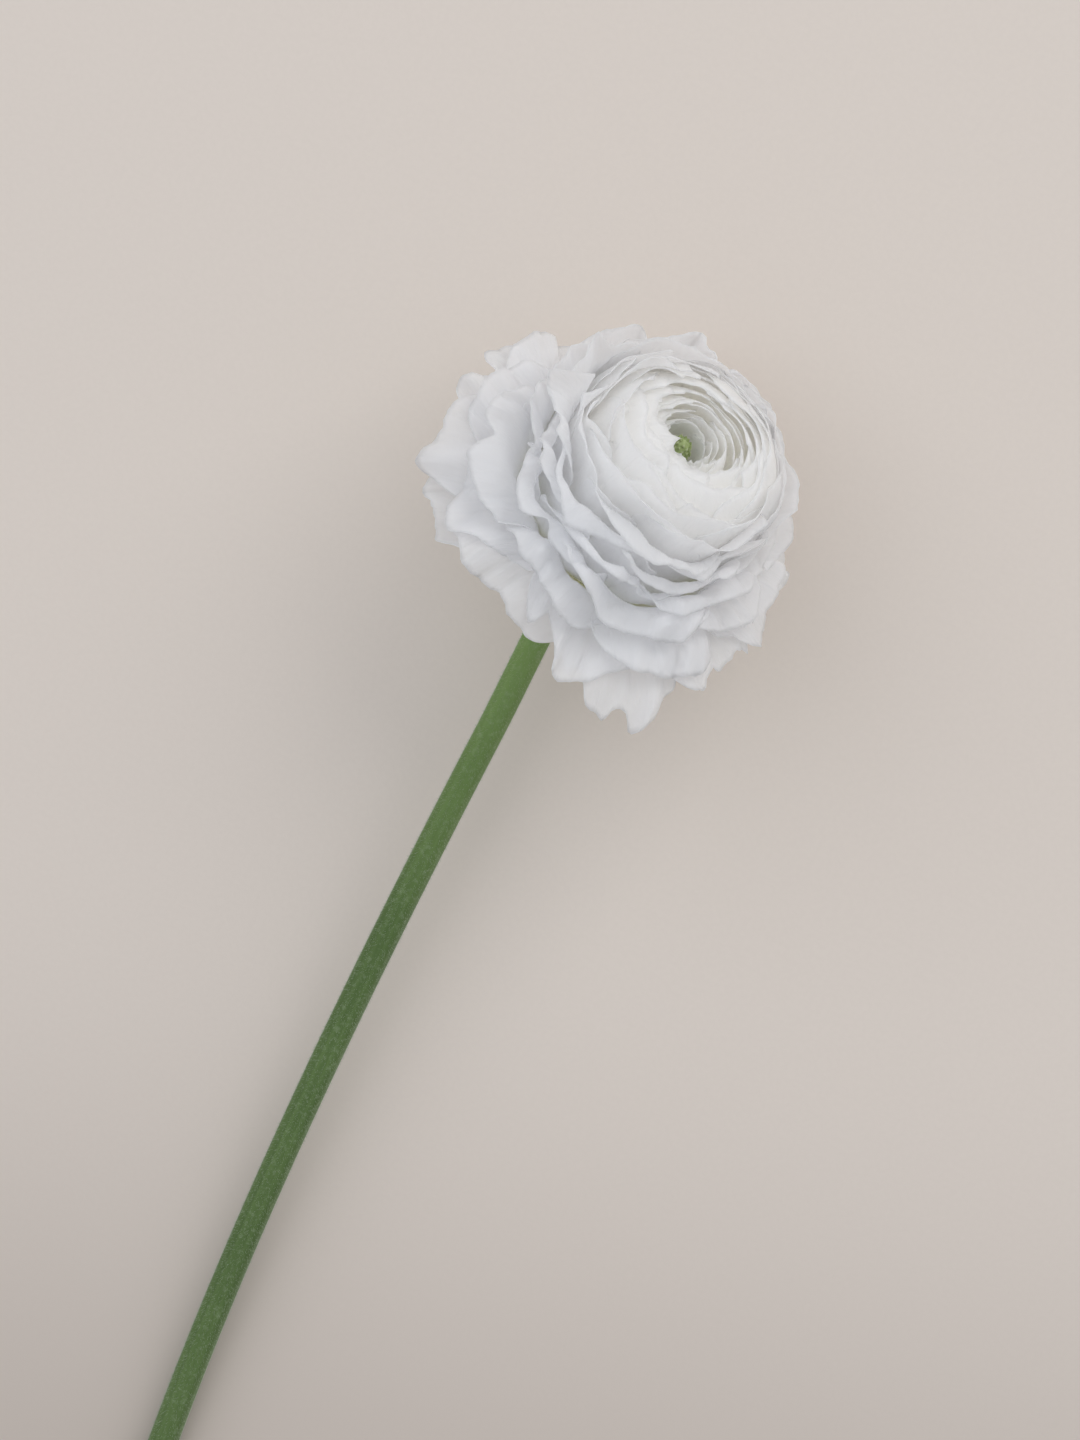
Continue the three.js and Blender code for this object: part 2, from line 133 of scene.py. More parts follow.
# The column under the carpels, and one carpel's outline as radius and length from its root.
CARPEL_PROFILE = [
    [0, 17.4], [1.6, 17.4], [2.1, 19.5], [2.6, 23.5], [2.8, 29], [2.4, 32], [1.4, 34], [0, 34.6],
]
CARPEL_OUTLINE = [[0.05, -0.5], [0.5, 0.0], [0.62, 0.5], [0.42, 1.0], [0.16, 1.45], [0.04, 1.9]]

# The calyx: a disc under the bloom with sepals bent back along the stem.
SEPALS = 5
SEPAL_PATH = [[3.4, -0.3], [7.5, 1.2], [10.5, -3.5], [9.6, -10.5]]
SEPAL_HALF_WIDTH = 3.1
SEPAL_BLADE = 0.5
CALYX_DISC = [[0, -0.9], [3.9, -0.9], [4.5, -0.3], [4.3, 0.3], [0, 0.3]]

# The stem from under the calyx to its cut end, as three curves given from BASE.
NECK = [[-0.26, -0.95, -0.69], [-2.9, -10.3, -7.5], [-1.9, -30, -9.6], [-1.9, -45, -11.1]]
STALK = [[-1.9, -45, -11.1], [-2.1, -101.9, -14.9], [-0.7, -162.6, -19], [5.8, -219.1, -22]]
TAIL = [[5.8, -219.1, -22], [7.7, -236, -22.9], [2, -255, -22.9], [-9, -269, -22.7]]
STEM_COLLAR = 0.95
STEM_COLLAR_LENGTH = 3.2
CUT_SLANT = 0.7
STEM_WALL = 0.55  # the pith's radius at the cut, as a share of the stem's

# The camera, from where the bloom stands in the photographed frame of 1080 by 1440 pixels.
PICTURE = (1080, 1440)
LENS = 85
SENSOR = 36
BULB_IN_PICTURE = (634, 497)
PIXELS_PER_MM = 5.4
CAMERA_UP = math.radians(75)
AXIS_IN_PICTURE = math.radians(46)

# The stage: the floor in millimetres, and two lamps in metres right of, above and before the bulb.
FLOOR_HALF = 4000
FLOOR_DEPTH = 20
KEY_PLACE = (1.5, 1.25, 1.85)
KEY_SIZE = 2.2
SIDE_PLACE = (-1.1, 0.72, 1.45)
SIDE_SIZE = 1.9
BOUNCES = 64


def smooth(x, low, high):
    """0 below low, 1 above high, and 3k^2 - 2k^3 of the way k between them."""
    k = np.clip((x - low) / (high - low), 0, 1)
    return k * k * (3 - 2 * k)


def draw(i, k):
    """A draw between 0 and 1 that belongs to item i and use k."""
    x = np.sin(i * 12.9898 + k * 78.233 + 4.7) * 43758.5453
    return x - np.floor(x)


def sided(table, s, phi):
    """A table of layers by six sides: straight between layers, eased between sides."""
    table = np.asarray(table, float)
    k = np.clip(np.searchsorted(LAYERS, s, side="right") - 1, 0, len(LAYERS) - 2)
    low = np.take(LAYERS, k)
    f = np.clip((s - low) / (np.take(LAYERS, k + 1) - low), 0, 1)
    x = (phi / TAU) % 1 * 6
    side = np.floor(x).astype(int) % 6
    g = smooth(x - np.floor(x), 0, 1)
    rows = [table[r, side] * (1 - g) + table[r, (side + 1) % 6] * g for r in (k, k + 1)]
    return rows[0] * (1 - f) + rows[1] * f


def layered(values, s):
    """A value for each layer, straight between its stations."""
    return np.interp(s, LAYERS, values)


def meridian(s, t, phi, angle=0.0, lean=0.0, reach=0.0):
    """Radius and height of layer s at share t: a cubic from the root to a rim point that lies
    at an angle from the axis and a reach from the bulb's centre, and ends along its lean.
    On the open side the last fifth rolls outwards, square to the lean."""
    q = sided([TIGHTNESS] * len(LAYERS), s, phi)

    def mixed(tight, loose):
        return layered(tight, s) * q + layered(loose, s) * (1 - q)

    angle = np.radians(sided(RIM_ANGLE, s, phi) + angle)
    lean = np.radians(sided(RIM_LEAN, s, phi) + lean)
    aside = np.abs((phi - math.radians(345) + math.pi) % TAU - math.pi)
    dent = 1 - 0.13 * smooth(s, 0.85, 0.95) * np.exp(-((aside / 0.3) ** 2))
    reach = (mixed(RIM_REACH_TIGHT, RIM_REACH_OPEN) + reach) * dent
    root = np.radians(layered(ROOT_LEAN, s))
    hold0 = mixed(ROOT_HOLD_TIGHT, ROOT_HOLD_OPEN)
    hold1 = mixed(RIM_HOLD_TIGHT, RIM_HOLD_OPEN)
    p0 = (layered(ROOT_RADIUS, s), layered(ROOT_HEIGHT, s))
    p3 = (reach * np.sin(angle), BULB_CENTRE + reach * np.cos(angle))
    p1 = (p0[0] + hold0 * np.sin(root), p0[1] + hold0 * np.cos(root))
    p2 = (p3[0] - hold1 * np.sin(lean), p3[1] - hold1 * np.cos(lean))
    w = ((1 - t) ** 3, 3 * t * (1 - t) ** 2, 3 * t * t * (1 - t), t**3)
    rho, h = (w[0] * p0[k] + w[1] * p1[k] + w[2] * p2[k] + w[3] * p3[k] for k in (0, 1))
    side = 0.35 + 0.65 * np.clip(np.cos(phi - math.radians(305)), 0, 1)
    rolled = smooth(s, 0.4, 0.52) * (1 - smooth(s, 0.8, 0.92))
    wave = np.maximum(0, 0.6 + 0.6 * np.sin(6 * phi + 12 * s))
    lip = 1.9 * rolled * side * wave * np.clip((t - 0.82) / 0.18, 0, 1.1) ** 2
    return rho + lip * np.cos(lean), h - lip * np.sin(lean)


def folded_share(s0, phi0):
    """1 for the petals at the folded side of the bulb, 0 elsewhere."""
    share = smooth(s0, 0.35, 0.45) * (1 - smooth(s0, 0.68, 0.8))
    return share * smooth(math.cos(phi0 - FOLDED_SIDE), 0.3, 0.8)


def petal_edge(i, s0, phi0, u):
    """Petal i's length at u across it, as a share of its layer's: a round outline of a drawn length
    with a ragged edge, teeth near the heart, a peak, at times a notch, lobes on the skirt, one long
    corner, and a tip on folded petals."""

    def phase(k):
        return TAU * draw(i, k)

    def strength(k):
        return 0.4 + 0.6 * draw(i, k + 20)

    outline = 0.66 + 0.34 * np.clip(1 - np.abs(u) ** 2.6, 0, 1) ** (1 / 2.6)
    uneven = 0.09 + 0.1 * smooth(s0, 0.3, 0.45) * (1 - smooth(s0, 0.75, 0.9))
    length = 1.03 - uneven * draw(i, 10) + 0.08 * smooth(s0, 0.9, 1) * (draw(i, 11) - 0.5)
    ragged = 0.012 * strength(0) * np.sin(6 * u + phase(0))
    ragged += 0.004 * strength(1) * np.sin(17 * u + phase(1))
    ragged += 0.003 * strength(2) * np.sin(41 * u + phase(2))
    inner = 1 - smooth(s0, 0.3, 0.5)
    teeth = 0.04 * inner * strength(7) * (1 - np.abs(np.sin(8 * u + phase(7)))) ** 2
    peak = 0.11 * draw(i, 13) * np.exp(-np.abs(u - 0.6 * math.sin(phase(8))) / 0.16)
    peak *= smooth(s0, 0.2, 0.4) * (1 - 0.75 * smooth(s0, 0.6, 0.85))
    dip = np.exp(-(((u - 0.4 * math.sin(phase(3))) / 0.14) ** 2))
    notch = 0.1 * smooth(s0, 0.5, 0.8) * (draw(i, 8) > 0.65) * dip
    lobes = 0.02 * smooth(s0, 0.84, 0.94) * np.tanh(2.5 * np.sin(5.5 * u + phase(14)))
    lobed = smooth(s0, 0.95, 0.97) * smooth(math.cos(phi0 - LOBED_SIDE), 0.8, 0.95)
    lobes += 0.045 * lobed * np.tanh(2.5 * (0.3 + np.sin(9 * u + phase(15))))
    corner = EAR_LENGTH * (i == EAR_PETAL) * np.exp(-(((u - EAR_PLACE) / 0.27) ** 2))
    tip = np.exp(-np.abs(u - 0.35 * math.sin(phase(16))) / 0.2) - 0.3
    tip *= 0.13 * folded_share(s0, phi0)
    return outline * length + ragged + teeth + peak - notch + lobes + corner + tip


def petal_surface(i, count, across, along):
    """Petal i as a grid: u from -1 to 1 across it, v from 0 at its root to 1 at its rim.
    Its share t of the layer's length is v times its edge, its layer is s plus small waves in u,
    and its side is its own golden-angle turn plus the distance x from its middle line over the
    radius there."""
    s0 = float(np.interp((i + 0.5) / count, SHARE, SHARE_LAYER))
    phi0 = i * GOLDEN
    line = np.sin(np.linspace(-1, 1, across) * math.pi / 2)
    u, v = np.meshgrid(line, np.linspace(0, 1, along) ** 0.8, indexing="ij")

    def phase(k):
        return TAU * draw(i, k)

    def strength(k):
        return 0.4 + 0.6 * draw(i, k + 20)

    folded = folded_share(s0, phi0)
    half = layered(HALF_WIDTH, s0) * (0.92 + 0.16 * draw(i, 9)) * (1 - 0.35 * folded)
    t = v * petal_edge(i, s0, phi0, u)
    x = u * half * (0.25 + 0.75 * np.sin(math.pi / 2 * v) ** 1.1)
    rim = smooth(v, 0.5, 1)
    sway = 0.25 * strength(4) * np.sin(3.5 * u + phase(4))
    flutter = 0.16 * strength(5) * np.sin(8 * u + phase(5))
    fold = folded * (1.1 * np.sin(2.6 * u + phase(17)) + 0.35 * np.sin(6 * u + phase(18)))
    s = np.clip(s0 + 0.027 * (0.5 * u * v + rim * (sway + flutter + fold)), 0, 1)
    side = phi0 + x / np.maximum(meridian(s, t, np.full_like(u, phi0))[0], 3)
    outer = smooth(s0, 0.45, 0.8)
    twist = 14 * np.sin(7 * side + 9 * s) + 9 * strength(6) * np.sin(4 * u + phase(6))
    skirt = 1.3 * smooth(s0, 0.85, 1) * np.sin(5 * side + 4 * s)
    parted = smooth(s0, 0.42, 0.55) * (1 - smooth(s0, 0.75, 0.85)) * np.sin(3 * u + phase(9))
    rho, h = meridian(
        s,
        t,
        side,
        angle=2.5 * np.sin(5 * side + 6 * s) * outer + 2 * (draw(i, 7) - 0.5) + 1.6 * rim * parted,
        lean=outer * rim * twist,
        reach=outer * rim * (0.5 * np.sin(9 * side - 7 * s) + skirt),
    )
    points = np.stack([rho * np.cos(side), rho * np.sin(side), h], -1)
    points += blade_normals(points) * crumple(i, s0, x, t, v)[..., None]
    return points, np.stack([u, v, np.full_like(u, s0)], -1)


def crumple(i, s0, x, t, v):
    """How far a petal's skin stands out of its smooth form, in millimetres: waves across the petal
    that wander as they run along it, broad ones all over, pleats and fine crepe towards the rim."""

    def phase(k):
        return TAU * draw(i, k)

    run = 40 * t
    a = x + 1.6 * np.sin(x / 5.5 + phase(40)) + 0.9 * np.sin(run / 4 + phase(41))
    broad = np.sin(a / 2.1 + run / 9 + phase(42)) + 0.6 * np.sin(a / 3.3 - run / 5 + phase(43))
    pleats = np.sin(a / 0.85 + 0.8 * np.sin(run / 3.1 + phase(44)) + phase(45))
    crepe = np.sin(a / 0.38 + phase(46)) * (0.55 + 0.45 * np.sin(run / 1.6 + a / 1.4 + phase(47)))
    outer = smooth(s0, 0.45, 0.95)
    patchy = 0.5 + 0.5 * np.sin(a / 4.3 + phase(48))
    height = (0.1 + 0.6 * outer) * smooth(v, 0.2, 0.7) * broad
    height += (0.05 + 0.9 * outer) * smooth(v, 0.55, 1) ** 1.5 * patchy * pleats
    return height + (0.04 + 0.16 * outer) * smooth(v, 0.3, 0.9) * crepe


def bloom_axes():
    """Two axes across the bloom and the way that it faces, as columns."""
    facing = np.array([
        math.cos(FACING_UP) * math.sin(FACING_ASIDE),
        math.cos(FACING_UP) * math.cos(FACING_ASIDE),
        math.sin(FACING_UP),
    ])
    across = np.array([math.cos(FACING_ASIDE), -math.sin(FACING_ASIDE), 0])
    return np.stack([np.cross(across, facing), across, facing], 1)


def placed(points):
    """Points of the bloom's frame in the part's frame."""
    return points @ bloom_axes().T + BASE


def settled(points):
    """Bends what would pass the floor along it: z becomes h + k log(1 + exp((z - h) / k))."""
    points = points.copy()
    over = (points[..., 2] - PRESSED_HEIGHT) / PRESSED_SOFTNESS
    points[..., 2] = PRESSED_HEIGHT + PRESSED_SOFTNESS * np.logaddexp(0, over)
    return points


def blade_normals(grid):
    """Unit vectors along the cross product of a grid's two directions."""
    normal = np.cross(np.gradient(grid, axis=0), np.gradient(grid, axis=1))
    return normal / np.maximum(np.linalg.norm(normal, axis=-1, keepdims=True), 1e-9)


def closed_blade(grid, thickness):
    """A grid of points as a closed blade: each point moved half a thickness both ways along its
    normal, with a rim of quads round the border."""
    nu, nv = grid.shape[:2]
    offset = blade_normals(grid) * np.asarray(thickness)[..., None] / 2
    points = np.concatenate([(grid + offset).reshape(-1, 3), (grid - offset).reshape(-1, 3)])
    ids = np.arange(nu * nv).reshape(nu, nv)
    a, b, c, d = ids[:-1, :-1], ids[1:, :-1], ids[1:, 1:], ids[:-1, 1:]
    front = np.stack([a, b, c, d], -1).reshape(-1, 4)
    back = front[:, ::-1] + nu * nv
    loop = np.concatenate([ids[:-1, 0], ids[-1, :-1], ids[:0:-1, -1], ids[0, :0:-1]])
    ahead = np.roll(loop, -1)
    edge = np.stack([ahead, loop, loop + nu * nv, ahead + nu * nv], -1)
    return points, [front, back, edge]


def write_mesh(name, shells, attributes=()):
    """A smooth shaded mesh object at the origin. A shell is its points, in millimetres, and a list
    of arrays of faces, each array with its own number of corners."""
    starts = np.cumsum([0] + [len(points) for points, _ in shells[:-1]])
    faces = [array + start for (_, arrays), start in zip(shells, starts) for array in arrays]
    points = np.concatenate([points for points, _ in shells])
    mesh = bpy.data.meshes.new(name)
    mesh.from_pydata((points * MM).tolist(), [], [face for array in faces for face in array.tolist()])
    mesh.polygons.foreach_set("use_smooth", np.ones(len(mesh.polygons), bool))
    for label, values in attributes:
        values = np.asarray(values, np.float32)
        kind = "FLOAT_VECTOR" if values.ndim == 2 else "FLOAT"
        field = "vector" if values.ndim == 2 else "value"
        mesh.attributes.new(label, kind, "POINT").data.foreach_set(field, values.ravel())
    mesh.validate()
    mesh.update()
    piece = bpy.data.objects.new(name, mesh)
    bpy.context.scene.collection.objects.link(piece)
    return piece


def finish_piece(piece, material, node):
    """Gives a piece its material and body, and hides the node that it replaces."""
    piece.data.materials.append(material)
    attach(piece, "root")
    if node:
        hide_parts(node)
    return piece


class Recipe:
    """A node material that is written as a few short calls."""

    def __init__(self, name):
        self.material = bpy.data.materials.new(name)
        self.material.use_nodes = True
        self.tree = self.material.node_tree
        self.tree.nodes.clear()
        self.output = self.node("OutputMaterial")

    def node(self, kind, **settings):
        made = self.tree.nodes.new("ShaderNode" + kind)
        for key, value in settings.items():
            setattr(made, key, value)
        return made

    def put(self, socket, value):
        """Links a socket, or sets a plain value on it."""
        if isinstance(value, bpy.types.NodeSocket):
            self.tree.links.new(value, socket)
        elif hasattr(value, "__len__") and len(value) == 3 and socket.type == "RGBA":
            socket.default_value = (*value, 1)
        else:
            socket.default_value = value

    def attribute(self, name, output="Vector"):
        return self.node("Attribute", attribute_name=name).outputs[output]

    def place(self):
        return self.node("TexCoord").outputs["Object"]

    def parts(self, vector):
        made = self.node("SeparateXYZ")
        self.put(made.inputs[0], vector)
        return made.outputs

    def vector(self, x, y, z):
        made = self.node("CombineXYZ")
        for socket, value in zip(made.inputs, (x, y, z)):
            self.put(socket, value)
        return made.outputs[0]

    def math(self, operation, a, b=0.0):
        made = self.node("Math", operation=operation)
        self.put(made.inputs[0], a)
        self.put(made.inputs[1], b)
        return made.outputs[0]

    def noise(self, vector, scale, detail=3.0, rough=0.5):
        made = self.node("TexNoise")
        self.put(made.inputs["Vector"], vector)
        self.put(made.inputs["Scale"], scale)
        self.put(made.inputs["Detail"], detail)
        self.put(made.inputs["Roughness"], rough)
        return made.outputs["Fac"]

    def ramp(self, value, low, high, out_low=0.0, out_high=1.0):
        """Value from low to high eased to out_low to out_high."""
        made = self.node("MapRange", interpolation_type="SMOOTHSTEP")
        for label, v in zip(("Value", "From Min", "From Max", "To Min", "To Max"),
                            (value, low, high, out_low, out_high)):
            self.put(made.inputs[label], v)
        return made.outputs[0]

    def mix(self, share, a, b):
        made = self.node("Mix", data_type="RGBA")
        self.put(made.inputs["Factor"], share)
        self.put(made.inputs[6], a)
        self.put(made.inputs[7], b)
        return made.outputs[2]

    def bump(self, height, depth_mm, strength=1.0):
        made = self.node("Bump")
        self.put(made.inputs["Strength"], strength)
        self.put(made.inputs["Distance"], depth_mm * MM)
        self.put(made.inputs["Height"], height)
        return made.outputs[0]

    def principled(self, **sockets):
        made = self.node("BsdfPrincipled")
        for label, value in sockets.items():
            self.put(made.inputs[label.replace("_", " ")], value)
        return made.outputs[0]

    def close(self, shader):
        self.put(self.output.inputs["Surface"], shader)
        return self.material


def petal_material(settings):
    """Thin matt petals: cream at the root, white with faint lengthwise veins above it, warmer near the heart,
    with a painted highlight along each rim, and light that passes through the blade. A faint glow stands for
    the light that packed petals scatter among themselves."""
    m = Recipe("petal_skin")
    m.material.cycles.emission_sampling = "NONE"
    across, along, layer = m.parts(m.attribute("petal"))
    shade = m.attribute("shade", "Fac")
    fan = m.math("MULTIPLY", across, m.ramp(along, 0.0, 1.0, 9.0, 17.0))
    veins = m.noise(m.vector(fan, m.math("MULTIPLY", along, 1.3), m.math("MULTIPLY", shade, 40)), 1.6)
    fine = m.noise(m.vector(m.math("MULTIPLY", across, 30), along, m.math("MULTIPLY", shade, 70)), 2.2)
    mottle = m.noise(m.place(), 160, 3, 0.6)
    warm = m.ramp(layer, 0.3, 0.85, 1.0, 0.0)
    blade = m.mix(warm, tuple(settings.colour), tuple(settings.heart_colour))
    veined = m.mix(m.ramp(veins, 0.5, 0.7, 0.0, 0.3), blade, tuple(settings.vein_colour))
    cloudy = m.mix(m.ramp(mottle, 0.35, 0.75, 0.0, 0.1), veined, tuple(settings.vein_colour))
    # Painted highlight: the last stretch of each petal towards its rim is whitened, standing in for the light
    # that the rims catch.
    rim_highlight = m.mix(m.ramp(along, 0.94, 1.0, 0.0, 0.8), cloudy, (0.995, 0.995, 0.995))
    rooted = m.mix(m.ramp(along, 0.12, 0.6, 0.85, 0.0), rim_highlight, tuple(settings.root_colour))
    height = m.math("ADD", m.math("MULTIPLY", veins, 0.7), m.math("MULTIPLY", fine, 0.3))
    normal = m.bump(height, 0.35, settings.vein_depth)
    held = m.ramp(layer, 0.2, 0.6, settings.held_light, 0.35 * settings.held_light)
    skin = m.principled(Base_Color=rooted, Roughness=0.62, Specular_IOR_Level=0.3,
                        Sheen_Weight=0.08, Sheen_Roughness=0.5, Normal=normal,
                        Emission_Color=(1.0, 0.99, 0.97), Emission_Strength=held)
    through = m.node("BsdfTranslucent")
    lit = m.mix(warm, (0.981, 0.981, 0.984), (0.998, 0.996, 0.993))
    m.put(through.inputs["Color"], m.mix(m.ramp(along, 0.1, 0.65, 1.0, 0.0), lit, (0.985, 0.985, 0.91)))
    m.put(through.inputs["Normal"], normal)
    both = m.node("MixShader")
    m.put(both.inputs[0], m.ramp(layer, 0.25, 0.6, settings.light_through_heart, settings.light_through))
    m.put(both.inputs[1], skin)
    m.put(both.inputs[2], through.outputs[0])
    return m.close(both.outputs[0])


def petals_piece(name, first, last, across, along, settings):
    """The petals from one share of the bloom to another, joined in one piece."""
    shells = []
    surface = []
    shades = []
    for i in range(round(first * settings.count), round(last * settings.count)):
        points, where = petal_surface(i, settings.count, across, along)
        thin = settings.thickness * (1 - 0.45 * smooth(where[..., 1], 0.8, 1))
        shells.append(closed_blade(settled(placed(points)), thin))
        surface += [where.reshape(-1, 3)] * 2
        shades.append(np.full(2 * across * along, draw(i, 30)))
    attributes = [("petal", np.concatenate(surface)), ("shade", np.concatenate(shades))]
    return write_mesh(name, shells, attributes)


def bezier(points, t):
    """A cubic through four control points at every t."""
    p = np.asarray(points, float)
    t = np.asarray(t, float)[..., None]
    return (1 - t) ** 3 * p[0] + 3 * t * (1 - t) ** 2 * p[1] + 3 * t * t * (1 - t) * p[2] + t**3 * p[3]


def stem_line(count):
    """Points at even steps along the stem, with their share of its length and directions."""
    fine = np.concatenate([bezier(curve, np.linspace(0, 1, 500)) for curve in (NECK, STALK, TAIL)])
    run = np.concatenate([[0], np.cumsum(np.linalg.norm(np.diff(fine, axis=0), axis=1))])
    at = np.linspace(0, run[-1], count)
    centres = np.stack([np.interp(at, run, fine[:, k]) for k in range(3)], 1) + BASE
    along = np.gradient(centres, axis=0)
    along /= np.linalg.norm(along, axis=1, keepdims=True)
    across = np.array([1.0, 0, 0]) - along * along[:, :1]
    across /= np.linalg.norm(across, axis=1, keepdims=True)
    return centres, along, across, np.cross(along, across), at


def stem_radius(settings, run, length):
    """Thin under the bloom, thicker at the cut, with a collar that fades below the calyx."""
    collar = STEM_COLLAR * np.exp(-((run / STEM_COLLAR_LENGTH) ** 2))
    return settings.radius_top + (settings.radius_end - settings.radius_top) * run / length + collar


def stem_point(settings, lines, angle, lift=0.0):
    """A point on the stem's skin at an angle a: its radius times shallow ridges that wind slowly,
    1 + 0.018 cos 7a + 0.01 cos 3a, with the last millimetres drawn back along the slanted cut."""
    centres, along, across, over, run = lines
    ridges = 1 + 0.018 * np.cos(7 * angle + run * 0.004) + 0.01 * np.cos(3 * angle + run * 0.03)
    radius = stem_radius(settings, run, settings.length) * ridges + lift
    offset = across * (radius * np.cos(angle))[..., None] + over * (radius * np.sin(angle))[..., None]
    cut = smooth(run, settings.length - 3.0, settings.length) * CUT_SLANT
    return centres + offset - along * (offset[..., 2] * cut)[..., None]


def fan_faces(centre, ring):
    """Triangles from a centre point to a ring of points."""
    return np.stack([np.full(len(ring), centre), ring, np.roll(ring, -1)], -1)


def tube_faces(rings, sides):
    """Quads between rings of points that follow each other."""
    ids = np.arange(rings * sides).reshape(rings, sides)
    ahead = np.roll(ids, -1, axis=1)
    return np.stack([ids[:-1], ahead[:-1], ahead[1:], ids[1:]], -1).reshape(-1, 4)


def stem_material(settings):
    """Soft green skin: fine lengthwise streaks, a pale bloom of down, yellower under the petals."""
    m = Recipe("stem_skin")
    turn, run, _ = m.parts(m.attribute("stem"))
    streaks = m.noise(m.vector(m.math("MULTIPLY", turn, 9), m.math("MULTIPLY", run, 0.5), 0.0), 2.0, 4, 0.6)
    grain = m.noise(m.place(), 900, 3, 0.65)
    cloud = m.noise(m.place(), 60, 2, 0.5)
    green = m.mix(m.ramp(streaks, 0.35, 0.7), tuple(settings.colour), tuple(settings.streak_colour))
    clouded = m.mix(m.ramp(cloud, 0.35, 0.7, 0.0, 0.35), green, tuple(settings.shade_colour))
    fresh = m.mix(m.ramp(run, 0.0, 0.4, 0.75, 0.0), clouded, tuple(settings.neck_colour))
    downy = m.mix(m.ramp(grain, 0.5, 0.72, 0.0, 0.3), fresh, (0.32, 0.4, 0.24))
    height = m.math("ADD", m.math("MULTIPLY", streaks, 0.5), m.math("MULTIPLY", grain, 0.5))
    skin = m.principled(Base_Color=downy, Roughness=0.7, Specular_IOR_Level=0.3,
                        Sheen_Weight=1.0, Sheen_Roughness=0.3, Sheen_Tint=(0.85, 0.95, 0.8),
                        Normal=m.bump(height, 0.2, 0.5))
    return m.close(skin)


def stem_shell(settings, rings, sides):
    """The stem's skin as rings round its line, closed by a flat top and a slanted cut."""
    lines = [values[:, None] for values in stem_line(rings)]
    angle = np.linspace(0, TAU, sides, endpoint=False)[None, :]
    skin = stem_point(settings, lines, angle)
    top, end = skin[0].mean(0), skin[-1].mean(0)
    inwards = -lines[1][-1, 0]
    rim = end + (skin[-1] - end) * STEM_WALL
    points = np.concatenate([skin.reshape(-1, 3), rim, rim + inwards * 0.35, [top, end + inwards * 0.5]])
    first = np.arange(sides)
    middle = rings * sides + 2 * sides
    faces = [
        tube_faces(rings + 2, sides),
        fan_faces(middle, first[::-1]),
        fan_faces(middle + 1, first + (rings + 1) * sides),
    ]
    where = np.stack([
        np.broadcast_to(angle / TAU, (rings, sides)),
        np.broadcast_to(lines[4] / settings.length, (rings, sides)),
        np.zeros((rings, sides)),
    ], -1).reshape(-1, 3)
    extra = np.tile([0.0, 1.0, 1.0], (2 * sides + 2, 1))
    return points, faces, np.concatenate([where, extra])


def hair_shells(roots, outward, lean, length, width):
    """Short hairs as closed three-sided spikes: three base corners sunk in and one tip."""
    side = np.cross(outward, lean)
    side /= np.maximum(np.linalg.norm(side, axis=1, keepdims=True), 1e-9)
    up = np.cross(side, outward)
    turns = np.array([0, TAU / 3, 2 * TAU / 3])
    ring = np.stack([side * math.cos(a) + up * math.sin(a) for a in turns], 1) * width[:, None, None]
    base = (roots - outward * 0.08)[:, None] + ring
    tip = (roots + (outward + lean) * length[:, None])[:, None]
    points = np.concatenate([base, tip], 1).reshape(-1, 3)
    start = np.arange(len(roots))[:, None] * 4
    faces = [start + np.array(corners) for corners in ([0, 1, 3], [1, 2, 3], [2, 0, 3], [2, 1, 0])]
    return points, faces


def stem_hairs(settings):
    """Hairs at golden-angle turns down the stem, leaning at a drawn angle, but none that would
    reach into the floor."""
    i = np.arange(settings.hairs)
    share = (i + draw(i, 41)) / settings.hairs * 0.99
    centres, along, across, over, run = stem_line(1200)
    at = share * run[-1]
    lines = [
        np.stack([np.interp(at, run, values[:, k]) for k in range(3)], 1)
        for values in (centres, along, across, over)
    ]
    angle = i * GOLDEN + draw(i, 42)
    skin = stem_point(settings, (*lines, at), angle)
    outward = lines[2] * np.cos(angle)[:, None] + lines[3] * np.sin(angle)[:, None]
    lean = lines[1] * (draw(i, 43) * 0.9 - 0.2)[:, None]
    lean += np.cross(lines[1], outward) * (draw(i, 44) * 0.6 - 0.3)[:, None]
    length = settings.hair_length * (0.5 + draw(i, 45))
    keep = skin[:, 2] + outward[:, 2] * length >= 0.2
    return hair_shells(skin[keep], outward[keep], lean[keep], length[keep], np.full(keep.sum(), 0.035))


def carpel_material(settings):
    """Green carpels with lighter specks and pale beaks."""
    m = Recipe("carpel_skin")
    tip = m.attribute("tip", "Fac")
    speck = m.noise(m.place(), 1400, 3, 0.6)
    green = m.mix(m.ramp(speck, 0.4, 0.7), tuple(settings.colour), tuple(settings.speck_colour))
    tipped = m.mix(m.ramp(tip, 0.45, 0.95, 0.0, 0.9), green, tuple(settings.tip_colour))
    skin = m.principled(Base_Color=tipped, Roughness=0.5, Specular_IOR_Level=0.35,
                        Normal=m.bump(speck, 0.15, 0.5))
    return m.close(skin)


def lathe(profile, sides):
    """A profile of radius and height turned round the bloom's axis; both ends lie on it."""
    rho, h = np.asarray(profile, float).T
    angle = np.linspace(0, TAU, sides, endpoint=False)
    ring = np.stack([np.cos(angle), np.sin(angle)], 1)
    body = np.concatenate([
        np.concatenate([ring * r, np.full((sides, 1), z)], 1) for r, z in zip(rho[1:-1], h[1:-1])
    ])
    rings = len(rho) - 2
    points = np.concatenate([body, [[0, 0, h[0]], [0, 0, h[-1]]]])
    first = np.arange(sides)
    faces = [
        tube_faces(rings, sides),
        fan_faces(rings * sides, first[::-1]),
        fan_faces(rings * sides + 1, first + (rings - 1) * sides),
    ]
    return points, faces


